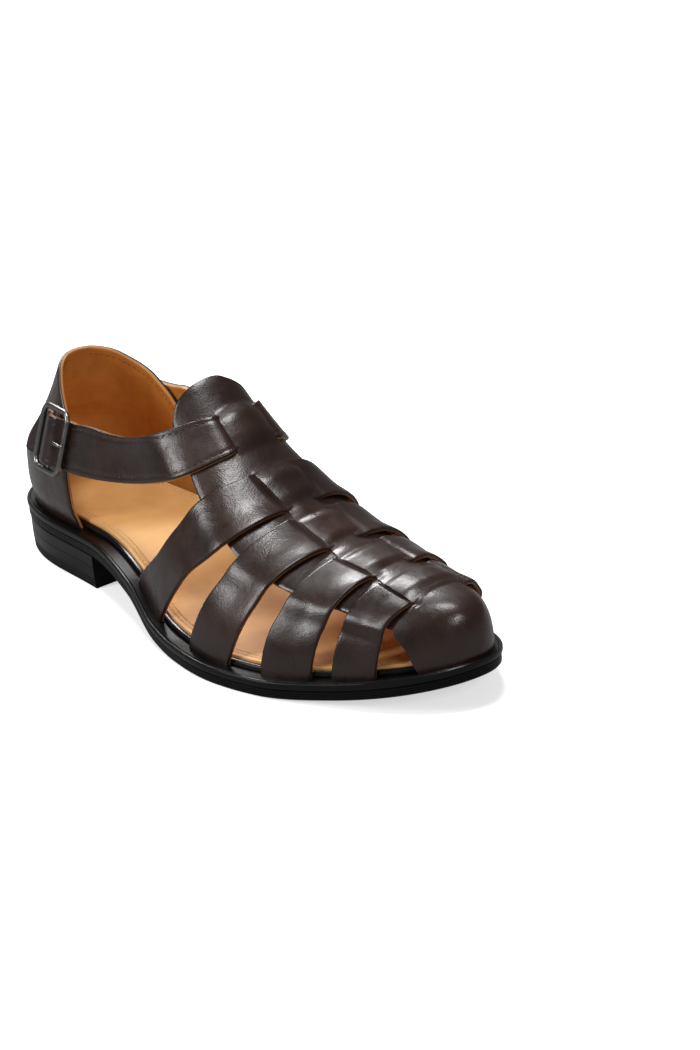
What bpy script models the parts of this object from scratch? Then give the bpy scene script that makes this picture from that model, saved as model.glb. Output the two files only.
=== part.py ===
"""Fisherman sandal, a right shoe. Leather straps are woven through the slits of a central vamp,
over a welted sole with a stacked heel, and an ankle strap with a metal buckle closes it.
The toe points along -Y, the outer side of the foot is -X, and the sole stands on Z = 0."""

import bpy
import numpy as np

MM = 0.001

# Main sizes, in millimetres
LENGTH = 288.0
WIDTH = 107.8
AXIS = 7.7
HEEL_HEIGHT = 16.0
TOE_SPRING = 14.0
OUTSOLE = 4.4
WELT = 2.9
GAP = 0.3
FEATHER = 4.5
TOE_FEATHER = 2.4
LEATHER = 2.0
STRAP = 3.0
COUNTER = 2.5
INSTEP = 92.5
BACK_HEIGHT = 65.5
FRAME_LONG = 23.0
FRAME_WIDE = 30.5
WIRE = 2.6

SOLE_TOP = OUTSOLE + GAP + WELT
OVER = 1.7


def table(names, *rows):
    return dict(zip(names.split(), np.array(rows, float).T))


# Sole: shares of the length, and half widths as shares of the ball width
SOLE = table(
    "along outer inner",
    (0.000, 0.000, 0.000),
    (0.020, 0.150, 0.150),
    (0.060, 0.240, 0.245),
    (0.140, 0.308, 0.306),
    (0.270, 0.340, 0.305),
    (0.400, 0.422, 0.280),
    (0.520, 0.522, 0.342),
    (0.640, 0.571, 0.422),
    (0.740, 0.529, 0.428),
    (0.840, 0.415, 0.350),
    (0.920, 0.300, 0.252),
    (0.970, 0.188, 0.156),
    (0.990, 0.112, 0.092),
    (1.000, 0.000, 0.000),
)
ARCH = table(
    "along height",
    (0.00, 1.00),
    (0.27, 0.98),
    (0.33, 0.92),
    (0.40, 0.72),
    (0.50, 0.14),
    (0.56, 0.00),
    (0.70, 0.00),
)
BALL_END = 0.70
BREAST = 0.272

# Last over the foot: ridge height as a share of the instep, sideways shift, squareness
RIDGE = table(
    "along height shift power",
    (0.354, 1.160, 0.0, 1.15),
    (0.417, 1.044, -1.0, 1.02),
    (0.460, 0.970, -2.0, 1.15),
    (0.552, 0.751, -2.5, 1.00),
    (0.646, 0.541, -2.5, 0.92),
    (0.729, 0.438, -2.5, 0.86),
    (0.823, 0.368, -2.0, 0.82),
    (0.900, 0.320, -1.5, 0.79),
    (0.945, 0.285, -1.0, 0.78),
    (0.975, 0.243, -0.5, 0.78),
    (0.990, 0.190, 0.0, 0.82),
    (1.000, 0.000, 0.0, 1.00),
)
# Last round the heel: height as a share of the back, widening, lean towards the heel
QUARTER = table(
    "height wide lean",
    (0.00, 1.00, 0.0),
    (0.18, 1.12, 0.0),
    (0.38, 1.14, -1.0),
    (0.61, 1.015, -11.5),
    (0.84, 0.867, -20.5),
    (1.07, 0.646, -25.5),
)
# Top line of the counter: place on the rim as a share of the length, height as a share of the back
TOP_LINE = table(
    "along height",
    (0.0226, 1.040),
    (0.0556, 1.000),
    (0.0903, 0.934),
    (0.1250, 0.861),
    (0.1597, 0.777),
    (0.1875, 0.702),
    (0.2083, 0.618),
)
FRONT_EDGE = table(
    "height outer inner",
    (0.00, 0.2243, 0.2780),
    (0.34, 0.2222, 0.2440),
    (0.70, 0.2180, 0.2210),
    (1.00, 0.2083, 0.2083),
)
# Edges of the woven straps, as shares of the length, from the outer foot to the inner foot,
# then where the vamp's own edge and its slit cross them (0 ridge, 1 rim)
WEAVE = table(
    "foot_out mid_out wing_out slit_out slit_in wing_in mid_in foot_in edge_out cut_out cut_in edge_in",
    (0.445, 0.448, 0.4507, 0.463, 0.4705, 0.4712, 0.468, 0.465, 0.342, 0.083, 0.083, 0.251),
    (0.455, 0.458, 0.4590, 0.480, 0.4800, 0.4610, 0.460, 0.458, 0.408, 0.160, 0.165, 0.405),
    (0.470, 0.478, 0.490, 0.501, 0.502, 0.486, 0.478, 0.470, 0.412, 0.175, 0.185, 0.500),
    (0.490, 0.500, 0.522, 0.549, 0.553, 0.535, 0.500, 0.490, 0.432, 0.150, 0.155, 0.560),
    (0.418, 0.500, 0.552, 0.581, 0.581, 0.563, 0.517, 0.468, 0.443, 0.138, 0.142, 0.600),
    (0.505, 0.564, 0.622, 0.645, 0.644, 0.623, 0.594, 0.565, 0.451, 0.092, 0.100, 0.515),
    (0.593, 0.620, 0.648, 0.660, 0.661, 0.647, 0.627, 0.610, 0.455, 0.105, 0.120, 0.517),
    (0.679, 0.697, 0.7165, 0.734, 0.734, 0.724, 0.706, 0.692, 0.448, 0.090, 0.095, 0.515),
    (0.735, 0.739, 0.750, 0.757, 0.752, 0.746, 0.740, 0.735, 0.446, 0.120, 0.128, 0.500),
    (0.806, 0.810, 0.8175, 0.829, 0.828, 0.815, 0.809, 0.806, 0.465, 0.130, 0.135, 0.497),
    (0.834, 0.836, 0.839, 0.847, 0.844, 0.840, 0.836, 0.833, 0.483, 0.165, 0.172, 0.490),
    (0.892, 0.895, 0.898, 0.914, 0.918, 0.906, 0.902, 0.900, 0.560, 0.280, 0.300, 0.560),
    (0.941, 0.926, 0.906, 0.925, 0.927, 0.914, 0.937, 0.955, 0.566, 0.280, 0.300, 0.566),
)
ANKLE_BACK, ANKLE_FRONT, FIRST_BACK, CAP = 2, 3, 4, 12


def smooth(x, xs, ys):
    """A smooth curve through (xs, ys) that never overshoots."""
    x = np.asarray(x, float)
    step = np.diff(xs)
    slope = np.diff(ys) / step
    turn = np.concatenate([[slope[0]], np.zeros(len(xs) - 2), [slope[-1]]])
    same = slope[1:] * slope[:-1] > 0
    turn[1:-1][same] = 2 / (1 / slope[1:][same] + 1 / slope[:-1][same])
    i = np.clip(np.searchsorted(xs, x, side="right") - 1, 0, len(step) - 1)
    t = (x - xs[i]) / step[i]
    back = ys[i] * (1 + 2 * t) * (1 - t) ** 2 + turn[i] * step[i] * t * (1 - t) ** 2
    front = ys[i + 1] * t**2 * (3 - 2 * t) + turn[i + 1] * step[i] * t**2 * (t - 1)
    return back + front


def turn_of(along):
    """Turn runs from 0 at the heel to 1 at the toe and slows down round both ends."""
    return np.arccos(1 - 2 * np.clip(along, 0, 1)) / np.pi


def under(y):
    """Height of the outsole's underside."""
    along = 0.5 - np.asarray(y, float) / LENGTH
    arch = smooth(np.clip(along, 0, BALL_END), ARCH["along"], ARCH["height"])
    spring = np.clip((along - BALL_END) / (1 - BALL_END), 0, 1.05) ** 2
    return HEEL_HEIGHT * arch + TOE_SPRING * spring


def edge(turn, side, inset=0.0):
    """Point of the sole's outline, side -1 outer or 1 inner, moved inwards by inset."""
    turn = np.asarray(turn, float)

    def at(t):
        share = smooth(t, turn_of(SOLE["along"]), SOLE["inner" if side > 0 else "outer"])
        y = LENGTH * np.cos(np.pi * t) / 2
        return np.stack([AXIS + side * share * WIDTH, y], -1)

    way = at(np.clip(turn + 0.004, 0, 1)) - at(np.clip(turn - 0.004, 0, 1))
    way /= np.linalg.norm(way, axis=-1, keepdims=True)
    return at(turn) + inset * side * np.stack([way[..., 1], -way[..., 0]], -1)


# The upper's inner face on the sole; at the toe it comes nearer to the welt's edge
RIM_TURN = np.linspace(0, 1, 401)[:, None]
RIM_INSET = LEATHER + FEATHER + (TOE_FEATHER - FEATHER) * np.clip((RIM_TURN - 0.72) / 0.28, 0, 1)
RIM = {side: edge(RIM_TURN[:, 0], side, RIM_INSET) for side in (-1, 1)}
BACK = RIM[1][0, 1]
FRONT = RIM[1][-1, 1]


def rim_x(y, side):
    return np.interp(-y, -RIM[side][:, 1], RIM[side][:, 0])


def pushed(at, first, second, out, step):
    """Surface point moved outwards along the normal."""
    one = at(first + step[0], second) - at(first - step[0], second)
    two = at(first, second + step[1]) - at(first, second - step[1])
    normal = np.cross(one, two)
    normal /= np.maximum(np.linalg.norm(normal, axis=-1, keepdims=True), 1e-12)
    return at(first, second) + np.asarray(out, float)[..., None] * normal


def last(turn, across, out=0.0):
    """Point on the last over the foot, across -1 at the outer rim, 0 on the ridge, 1 at the inner rim."""
    turn, across = np.broadcast_arrays(np.asarray(turn, float), np.asarray(across, float))

    def at(t, u):
        t = np.clip(t, 0, 1)
        y = BACK + (FRONT - BACK) * (1 - np.cos(np.pi * t)) / 2
        knots = turn_of(RIDGE["along"])
        high = INSTEP * smooth(t, knots, RIDGE["height"])
        top = AXIS + smooth(t, knots, RIDGE["shift"])
        angle = np.clip(1 - np.abs(u), -0.2, 1) * np.pi / 2
        reach = np.sign(np.cos(angle)) * np.abs(np.cos(angle)) ** smooth(t, knots, RIDGE["power"])
        x = top + (np.where(u < 0, rim_x(y, -1), rim_x(y, 1)) - top) * reach
        return np.stack([x, y, under(y) + SOLE_TOP + GAP + high * np.sin(angle)], -1)

    inner = at(turn, across)
    calm = pushed(at, np.minimum(turn, 0.992), np.clip(across, -0.998, 0.998), 1.0, (1e-3, 1e-3))
    calm -= at(np.minimum(turn, 0.992), np.clip(across, -0.998, 0.998))
    calm[turn > 0.9995] = (0, -1, 0)
    return inner + np.asarray(out, float)[..., None] * calm


def heel(y, side, height, out=0.0):
    """Point on the last round the heel: y on the rim, side -1 outer or 1 inner, height over the sole."""
    y, side, height = np.broadcast_arrays(np.asarray(y, float), side, np.asarray(height, float))

    def at(y, h):
        half = np.where(side < 0, AXIS - rim_x(y, -1), rim_x(y, 1) - AXIS)
        share = h / BACK_HEIGHT
        x = AXIS + side * half * smooth(share, QUARTER["height"], QUARTER["wide"])
        fade = np.clip((y - 0.17 * LENGTH) / (BACK - 0.17 * LENGTH), 0, 1)
        lean = smooth(share, QUARTER["height"], QUARTER["lean"]) * fade
        return np.stack([x, y + lean, under(y) + SOLE_TOP + GAP + h], -1)

    near = np.minimum(y, BACK - 0.25)
    n = pushed(at, near, height, 1.0, (0.2, 0.5)) - at(near, height)
    n = n * np.where(side < 0, -1.0, 1.0)[..., None]
    n[y > BACK - 0.01] = (0, 1, 0)
    return at(y, height) + np.asarray(out, float)[..., None] * n


# Scene and materials
for thing in list(bpy.data.objects):
    bpy.data.objects.remove(thing, do_unlink=True)
SANDAL = bpy.data.collections.new("fisherman_sandal")
bpy.context.scene.collection.children.link(SANDAL)
TOOLS = bpy.data.collections.new("cutters")
bpy.context.scene.collection.children.link(TOOLS)


def material(name, colour, rough, metal=0.0):
    made = bpy.data.materials.new(name)
    made.use_nodes = True
    shader = made.node_tree.nodes["Principled BSDF"]
    shader.inputs["Base Color"].default_value = (*colour, 1.0)
    shader.inputs["Roughness"].default_value = rough
    shader.inputs["Metallic"].default_value = metal
    made.diffuse_color = (*colour, 1.0)
    return made


BROWN = material("brown_calf_leather", (0.045, 0.024, 0.019), 0.35)
TAN = material("tan_leather", (0.66, 0.38, 0.16), 0.55)
BLACK = material("black_sole_leather", (0.012, 0.012, 0.013), 0.35)
RUBBER = material("black_rubber", (0.015, 0.015, 0.015), 0.7)
NICKEL = material("dark_nickel", (0.32, 0.32, 0.33), 0.3, 1.0)


def solid(name, points, faces, skin, home=SANDAL):
    mesh = bpy.data.meshes.new(name)
    mesh.from_pydata((np.asarray(points) * MM).tolist(), [], faces)
    mesh.update()
    mesh.materials.append(skin)
    made = bpy.data.objects.new(name, mesh)
    home.objects.link(made)
    return made


def loft(sections, closed=False):
    """Faces between closed sections of equal count, with both ends filled."""
    count, size = sections.shape[:2]
    faces = []
    for i in range(count if closed else count - 1):
        a, b = i * size, (i + 1) % count * size
        for j in range(size):
            k = (j + 1) % size
            faces.append((b + j, b + k, a + k, a + j))
    if not closed:
        faces.append(tuple(range(size)))
        faces.append(tuple(range((count - 1) * size, count * size))[::-1])
    return sections.reshape(-1, 3), faces


def plank(name, first, final, count, rings, skin):
    """A layer of the sole: rings lists (inset, height over y) from the bottom ring to the top one."""
    turns = np.linspace(turn_of(first), turn_of(final), count)
    turns = np.clip(turns, 0.006, 0.994)
    sections = []
    for side, order in ((-1, rings), (1, rings[::-1])):
        for inset, height in order:
            rim = edge(turns, side, inset)
            sections.append(np.column_stack([rim, height(rim[:, 1])]))
    points, faces = loft(np.stack(sections, 1))
    return solid(name, points, faces, skin)


# Outsole with rounded edges
plank(
    "outsole",
    0.0,
    1.0,
    44,
    [
        (1.3, lambda y: under(y)),
        (0.5, lambda y: under(y) + 0.9),
        (0.5, lambda y: under(y) + OUTSOLE - 0.5),
        (1.0, lambda y: under(y) + OUTSOLE),
    ],
    BLACK,
)

# Welt: a ledge round the shoe, wider than the upper
plank(
    "welt",
    0.0,
    1.0,
    44,
    [
        (0.5, lambda y: under(y) + OUTSOLE + GAP),
        (0.0, lambda y: under(y) + OUTSOLE + GAP + 0.6),
        (0.0, lambda y: under(y) + SOLE_TOP - 0.6),
        (0.7, lambda y: under(y) + SOLE_TOP),
    ],
    BLACK,
)

# Stacked heel with its top piece
TOP_PIECE = 4.5
plank(
    "heel_stack",
    0.0,
    BREAST,
    18,
    [
        (1.5, lambda y: TOP_PIECE + GAP + 0 * y),
        (0.9, lambda y: under(y) - GAP),
    ],
    BLACK,
)
plank(
    "heel_top_piece",
    0.0,
    BREAST,
    18,
    [
        (2.1, lambda y: 0 * y),
        (1.6, lambda y: 0.6 + 0 * y),
        (1.4, lambda y: TOP_PIECE + 0 * y),
    ],
    RUBBER,
)

# Insole board, its black edge showing as a rim, and the tan sock on it
BOARD = 2.2
SOCK = 1.3
INSIDE = FEATHER + LEATHER + GAP + 0.1
plank(
    "insole_board",
    0.0,
    1.0,
    40,
    [
        (INSIDE, lambda y: under(y) + SOLE_TOP + GAP),
        (INSIDE, lambda y: under(y) + SOLE_TOP + GAP + BOARD - 0.6),
        (INSIDE + 0.7, lambda y: under(y) + SOLE_TOP + GAP + BOARD),
    ],
    BLACK,
)
plank(
    "insole_sock",
    0.0,
    1.0,
    40,
    [
        (INSIDE + 1.8, lambda y: under(y) + SOLE_TOP + BOARD + 2 * GAP),
        (INSIDE + 1.8, lambda y: under(y) + SOLE_TOP + BOARD + 2 * GAP + SOCK - 0.4),
        (INSIDE + 2.3, lambda y: under(y) + SOLE_TOP + BOARD + 2 * GAP + SOCK),
    ],
    TAN,
)

# Woven vamp: one wall over the last. The straps are raised on the vamp's wings,
# and the vamp's middle is raised where they pass beneath it
RISE = 0.0018
CREST = 2.4
COLUMNS = table(
    "zone share",
    (0, 1.00),
    (0, 0.78),
    (0, 0.55),
    (0, 0.32),
    (0, 0.12),
    (1, 1.00),
    (1, 0.70),
    (1, 0.38),
    (1, 0.05),
    (2, 1.00),
    (2, 0.66),
    (2, 0.33),
)


def wall_rows():
    """Rows of the wall as (place between the table's rows, shift along, how far raised, strap or vamp)."""
    rows = [(0, 0, 0, "vamp"), (1, 0, 0, "vamp"), (ANKLE_BACK, 0, 0, "vamp")]
    rows += [(ANKLE_BACK + 0.2, 0, 0.7, "vamp"), (ANKLE_BACK + 0.5, 0, 1, "vamp")]
    rows += [(ANKLE_BACK + 0.8, 0, 0.7, "vamp"), (ANKLE_FRONT, 0, 0, "vamp")]
    for back in range(FIRST_BACK, CAP, 2):
        rows += [(back, -RISE, 0, "vamp"), (back, RISE, 1, "strap"), (back + 0.33, 0, 1, "strap")]
        rows += [(back + 0.67, 0, 1, "strap"), (back + 1, -RISE, 1, "vamp"), (back + 1, RISE, 0, "vamp")]
    return rows


def wall_sides():
    """Columns of the wall, from the outer rim over the ridge to the inner rim, as (side, zone, share)."""
    half = list(zip(COLUMNS["zone"], COLUMNS["share"]))
    return [(-1, *h) for h in half] + [(1, 2, 0.0)] + [(1, *h) for h in half[::-1]]


def row_shape(at):
    """Place across and share of the length of each column, for a row at this place of the table."""
    value = {name: np.interp(at, np.arange(len(column)), column) for name, column in WEAVE.items()}
    knots = np.array([-1.0, -0.76, -value["edge_out"], -value["cut_out"]])
    knots = np.append(knots, [value["cut_in"], value["edge_in"], 0.82, 1.0])
    names = "foot_out mid_out wing_out slit_out slit_in wing_in mid_in foot_in".split()
    across = []
    for side, zone, share in wall_sides():
        wing, cut = (value["edge_out"], value["cut_out"]) if side < 0 else (value["edge_in"], value["cut_in"])
        place = wing + (1 - wing) * share if zone == 0 else cut + (wing - cut) * share
        across.append(side * (place if zone < 2 else (cut - 0.012) * share))
    return np.array(across), smooth(across, knots, np.array([value[name] for name in names]))


def wall_grid():
    """Place (turn, across) and outer offset of each grid point, and the cells that hold leather."""
    sides = wall_sides()
    zones = np.array([zone for _, zone, _ in sides])
    shares = np.array([share for _, _, share in sides])
    inner = (zones[:-1] > 0) & (zones[1:] > 0)
    turns, places, lifts, filled = [], [], [], []
    for at, shift, raised, kind in wall_rows():
        across, along = row_shape(at)
        lift = LEATHER + np.where(zones == 1, OVER * raised * np.where(shares < 0.1, 0.5, 1.0), 0.0)
        lift += np.where(zones == 2, CREST * raised * np.where(shares > 0.9, 0.8, 1.0), 0.0)
        if at > FIRST_BACK - 0.5:
            lift += np.where((zones == 0) & (shares < 0.2), 0.35 * OVER * raised, 0.0)
        else:
            lift = LEATHER + np.where(zones == 2, CREST * raised * np.where(shares > 0.9, 0.9, 1.1), 0.0)
        turns.append(turn_of((BACK - LENGTH * (0.5 - along - shift)) / (BACK - FRONT)))
        places.append(across)
        lifts.append(lift)
        filled.append(np.ones(len(inner), bool) if kind == "strap" else inner)
    # Toe cap: from its margin, curved down to the welt, forward to the tip
    across, along = row_shape(CAP)
    start = turn_of((BACK - LENGTH * (0.5 - along)) / (BACK - FRONT))
    for share in (0.0, 0.14, 0.3, 0.46, 0.62, 0.76, 0.88, 0.96, 1.0):
        turns.append(start + (1 - start) * share)
        places.append(across)
        lifts.append(np.full(len(sides), LEATHER))
        filled.append(np.ones(len(inner), bool))
    filled[-1] = np.zeros(len(inner), bool)
    return np.array(turns), np.array(places), np.array(lifts), np.array(filled)


def wall_from_grid(outer, inner, filled, pole=False):
    """Closed wall: both skins of each filled cell, and a side where a cell has no neighbour."""
    rows, columns = outer.shape[:2]
    index = np.arange(rows * columns).reshape(rows, columns)
    if pole:
        index[-1, :] = index[-1, 0]
    low = rows * columns
    faces = []

    def add(*corners):
        kept = [c for i, c in enumerate(corners) if c != corners[i - 1]]
        if len(kept) > 2:
            faces.append(tuple(kept))

    for i in range(rows - 1):
        for j in range(columns - 1):
            if not filled[i][j]:
                continue
            a, b, c, d = index[i, j], index[i, j + 1], index[i + 1, j + 1], index[i + 1, j]
            add(d, c, b, a)
            add(a + low, b + low, c + low, d + low)
            around = [(i - 1, j, a, b), (i, j + 1, b, c), (i + 1, j, c, d), (i, j - 1, d, a)]
            for k, m, p, q in around:
                if not (0 <= k < rows - 1 and 0 <= m < columns - 1 and filled[k][m]):
                    add(p, q, q + low, p + low)
    points = np.concatenate([outer.reshape(-1, 3), inner.reshape(-1, 3)])
    used = sorted({c for face in faces for c in face})
    place = {c: i for i, c in enumerate(used)}
    return points[used], [tuple(place[c] for c in face) for face in faces]


def welt_line(y):
    """Height at which the upper stops, just over the welt."""
    return under(y) + SOLE_TOP + GAP


turns, places, lifts, filled = wall_grid()
outer, inner = last(turns, places, lifts), last(turns, places)
outer[..., 2] = np.maximum(outer[..., 2], welt_line(outer[..., 1]))
for rim in ((slice(None), 0), (slice(None), -1), (-1, slice(None))):
    outer[(*rim, 2)] = welt_line(outer[(*rim, 1)])
    inner[(*rim, 2)] = welt_line(inner[(*rim, 1)])
upper = solid("upper", *wall_from_grid(outer, inner, filled, pole=True), BROWN)

# Heel counter: a tall wall round the heel, cut in a curve down to the ankle strap
COUNTER_ROWS = 13
COUNTER_HALF = 15


def counter_grid(out):
    rise = np.linspace(0, 1, COUNTER_ROWS)[:, None]
    run = np.linspace(0, 1, COUNTER_HALF)
    run = np.concatenate([run, run[:-1][::-1]])[None, :]
    side = np.where(np.arange(2 * COUNTER_HALF - 1) < COUNTER_HALF, -1.0, 1.0)[None, :]
    cut = {word: smooth(rise, FRONT_EDGE["height"], FRONT_EDGE[word]) for word in ("outer", "inner")}
    front = LENGTH * (0.5 - np.where(side < 0, cut["outer"], cut["inner"]))
    place = front + (BACK - front) * np.sin(run * np.pi / 2)
    corner = LENGTH * (0.5 - TOP_LINE["along"][-1])
    top_place = corner + (BACK - corner) * np.sin(run * np.pi / 2)
    top = BACK_HEIGHT * smooth(0.5 - top_place / LENGTH, TOP_LINE["along"], TOP_LINE["height"])
    return heel(place, side, rise * top, out)


outer, inner = counter_grid(COUNTER), counter_grid(0.0)
outer[0, :, 2] = welt_line(outer[0, :, 1])
filled = np.ones((outer.shape[0], outer.shape[1] - 1), bool)
solid("heel_counter", *wall_from_grid(outer, inner, filled), BROWN)

# Buckle plane, lying on the outer side of the counter
BUCKLE_ALONG = 0.1768
BUCKLE_HEIGHT = 0.595
TILT = np.radians(1.3)
BAR_OUT = COUNTER + STRAP + 1.5
PIN_OUT = COUNTER + 2.7
PIN = 0.9
PLY = 0.8
THIN = STRAP - 0.6


def unit(vector):
    return vector / np.linalg.norm(vector)


buckle_y = LENGTH * (0.5 - BUCKLE_ALONG)
middle = heel(buckle_y, -1, BUCKLE_HEIGHT * BACK_HEIGHT)
to_heel = unit(heel(buckle_y + 8, -1, BUCKLE_HEIGHT * BACK_HEIGHT) - heel(buckle_y - 8, -1, BUCKLE_HEIGHT * BACK_HEIGHT))
away = unit(heel(buckle_y, -1, BUCKLE_HEIGHT * BACK_HEIGHT, 1.0) - middle)
away = unit(away - (away @ to_heel) * to_heel)
up = np.cross(away, to_heel)
up *= np.sign(up[2])
to_heel, up = np.cos(TILT) * to_heel + np.sin(TILT) * up, np.cos(TILT) * up - np.sin(TILT) * to_heel


def on_buckle(along, high, out):
    """Point of the buckle plane: along towards the heel, high upwards and out from the counter's inside."""
    along, high, out = np.broadcast_arrays(along, high, out)
    return middle + along[..., None] * to_heel + high[..., None] * up + out[..., None] * away


def tube(path, radius, closed=False, sides=8):
    """Sections of round wire along a path."""
    path = np.asarray(path, float)
    if closed:
        way = np.roll(path, -1, 0) - np.roll(path, 1, 0)
    else:
        way = np.gradient(path, axis=0)
    way /= np.linalg.norm(way, axis=1, keepdims=True)
    first = np.cross(way, away if abs(way[0] @ up) > 0.9 or closed else up)
    first /= np.linalg.norm(first, axis=1, keepdims=True)
    second = np.cross(first, way)
    turn = np.arange(sides) * 2 * np.pi / sides
    ring = np.cos(turn)[None, :, None] * first[:, None] + np.sin(turn)[None, :, None] * second[:, None]
    return loft(path[:, None] + radius * ring, closed)


def cut_or_join(target, tool, how):
    step = target.modifiers.new(how.lower(), "BOOLEAN")
    step.operation = how
    step.solver = "EXACT"
    step.object = tool
    tool.hide_render = True
    tool.display_type = "WIRE"


# Ankle strap, one ribbon each side from under the vamp's top: along and across of its two edges on
# the last, then its run to the counter, then its places on the counter
START = table(
    "top_along top_across low_along low_across out",
    (0.504, 0.130, 0.544, 0.105, 1.0),
    (0.500, 0.190, 0.5475, 0.165, 1.2),
    (0.488, 0.280, 0.541, 0.260, 1.4),
    (0.474, 0.365, 0.531, 0.350, 1.5),
    (0.456, 0.450, 0.519, 0.430, 2.2),
    (0.440, 0.505, 0.505, 0.500, 2.8),
)
SAG = 2.3
FREE = (0.17, 0.34, 0.51, 0.68, 0.84)
ON_COUNTER = table(
    "along top low out",
    (0.285, 0.780, 0.460, 2.7),
    (0.250, 0.766, 0.443, 3.0),
)
INNER_END = table(
    "along top low out",
    (0.215, 0.765, 0.435, 3.1),
    (0.190, 0.750, 0.425, 3.1),
    (0.160, 0.740, 0.418, 3.1),
    (0.135, 0.735, 0.415, 3.1),
    (0.115, 0.725, 0.420, 3.1),
    (0.095, 0.690, 0.450, 3.1),
)
THROUGH = table(
    "along out half shift",
    (-13.5, 3.0, 10.7, 0.0),
    (-10.2, 2.9, 10.7, 0.0),
    (-6.5, 4.3, 10.7, 0.0),
    (-3.0, 6.9, 10.7, 0.0),
    (0.0, 7.5, 10.7, 0.0),
    (3.0, 6.9, 10.7, 0.0),
    (6.5, 4.3, 10.7, 0.0),
    (10.2, 2.9, 10.7, -0.2),
    (13.5, 3.0, 10.4, -0.5),
    (16.0, 3.0, 8.9, -2.0),
    (18.5, 3.1, 6.2, -4.6),
    (20.8, 3.2, 3.0, -7.3),
    (22.0, 3.2, 0.8, -8.8),
)


def strap_edges(side, deep):
    """The strap's low edge, middle and top edge, at this depth from its inner face."""

    def on_last(high):
        along = (1 - high) * START["low_along"] + high * START["top_along"]
        across = (1 - high) * START["low_across"] + high * START["top_across"]
        turn = turn_of((BACK - LENGTH * (0.5 - along)) / (BACK - FRONT))
        return last(turn, side * across, START["out"] + deep)

    def on_heel(rows, high):
        height = (1 - high) * rows["low"] + high * rows["top"]
        return heel(LENGTH * (0.5 - rows["along"]), side, height * BACK_HEIGHT, rows["out"] + deep)

    lines = []
    for high in (0.0, 0.5, 1.0):
        begin, end = on_last(high), on_heel(ON_COUNTER, high)
        share = np.array(FREE)[:, None]
        span = begin[-1] + (end[0] - begin[-1]) * share
        span[:, 2] -= 4 * SAG * (share * (1 - share))[:, 0]
        if side < 0:
            wide = (2 * high - 1) * THROUGH["half"]
            shape = on_buckle(THROUGH["along"], wide + THROUGH["shift"], THROUGH["out"] + deep * THIN / STRAP)
        else:
            shape = on_heel(INNER_END, high)
        lines.append(np.concatenate([begin, span, end, shape]))
    return lines


for side in (-1, 1):
    sections = np.stack(strap_edges(side, 0.0) + strap_edges(side, STRAP)[::-1], 1)
    ribbon = solid("strap_tool_" + ("outer" if side < 0 else "inner"), *loft(sections[:: side]), BROWN, TOOLS)
    cut_or_join(upper, ribbon, "UNION")

# Buckle: a rounded frame with a centre bar, a prong and a tab that holds it
half_long = FRAME_LONG / 2 - WIRE / 2
half_wide = FRAME_WIDE / 2 - WIRE / 2
corner = 4.5
corner_turn = np.linspace(0, np.pi / 2, 5)
frame_path = []
for quarter in range(4):
    for t in corner_turn + quarter * np.pi / 2:
        sx = np.sign(np.cos(quarter * np.pi / 2 + np.pi / 4))
        sy = np.sign(np.sin(quarter * np.pi / 2 + np.pi / 4))
        frame_path.append(
            on_buckle(sx * (half_long - corner) + corner * np.cos(t), sy * (half_wide - corner) + corner * np.sin(t), BAR_OUT)
        )
buckle = solid("buckle_frame", *tube(frame_path, WIRE / 2, closed=True), NICKEL)
pin_path = on_buckle(0.0, np.array([-half_wide, 0.0, half_wide]), PIN_OUT)
cut_or_join(buckle, solid("pin_tool", *tube(pin_path, PIN), NICKEL, TOOLS), "UNION")

prong_path = on_buckle(np.array([-3.4, -4.3, -5.6, -7.4, -10.2, -12.2]), 0.0, np.array([5.2, 7.6, 9.3, 9.9, 9.6, 8.9]))
solid("buckle_prong", *tube(prong_path, PIN), NICKEL)
cut_or_join(upper, solid("prong_hole", *tube(prong_path[:5], PIN + 0.4), NICKEL, TOOLS), "DIFFERENCE")

# Tab: a strip folded round the centre bar, its tail between counter and strap
TAB_HALF = 9.0
fold = np.linspace(-np.pi / 2, -3 * np.pi / 2, 7)


def folded(radius, low, high):
    """One face of the strip: (along, out) from the lower tail round the bar to the upper tail."""
    bend = [(radius * np.cos(t), PIN_OUT + radius * np.sin(t)) for t in fold]
    return np.array([(5.2, low), (3.4, low)] + bend + [(2.4, high + 1.5), (3.8, high + 0.3), (5.2, high)])


face_in = folded(PIN + GAP, 3.7, 4.0)
face_out = folded(PIN + GAP + PLY, 2.9, 4.8)
corners = [(face_in, -TAB_HALF), (face_in, TAB_HALF), (face_out, TAB_HALF), (face_out, -TAB_HALF)]
sections = np.stack([on_buckle(face[:, 0], high, face[:, 1]) for face, high in corners], 1)
solid("buckle_tab", *loft(sections), BROWN)
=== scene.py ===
import bmesh
import bpy
import numpy as np
from mathutils import Matrix, Vector


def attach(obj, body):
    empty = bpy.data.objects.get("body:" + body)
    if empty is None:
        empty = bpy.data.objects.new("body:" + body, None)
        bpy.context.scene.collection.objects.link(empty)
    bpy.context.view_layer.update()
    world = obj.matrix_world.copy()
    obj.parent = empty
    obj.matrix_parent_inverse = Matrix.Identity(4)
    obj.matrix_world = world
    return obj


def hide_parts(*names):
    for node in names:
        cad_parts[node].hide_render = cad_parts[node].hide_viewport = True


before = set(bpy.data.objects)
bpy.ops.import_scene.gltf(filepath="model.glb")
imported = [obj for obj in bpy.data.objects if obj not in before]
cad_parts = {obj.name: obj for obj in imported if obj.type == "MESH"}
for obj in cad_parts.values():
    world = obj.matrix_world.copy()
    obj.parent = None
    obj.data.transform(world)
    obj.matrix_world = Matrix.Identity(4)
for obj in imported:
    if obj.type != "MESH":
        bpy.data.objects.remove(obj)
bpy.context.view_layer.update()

# Camera and light
# The camera looks down at the toe's outer side, as in the photo, which is 700 x 1050.
# Soft studio light comes from a white room and four broad lamps.

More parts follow.
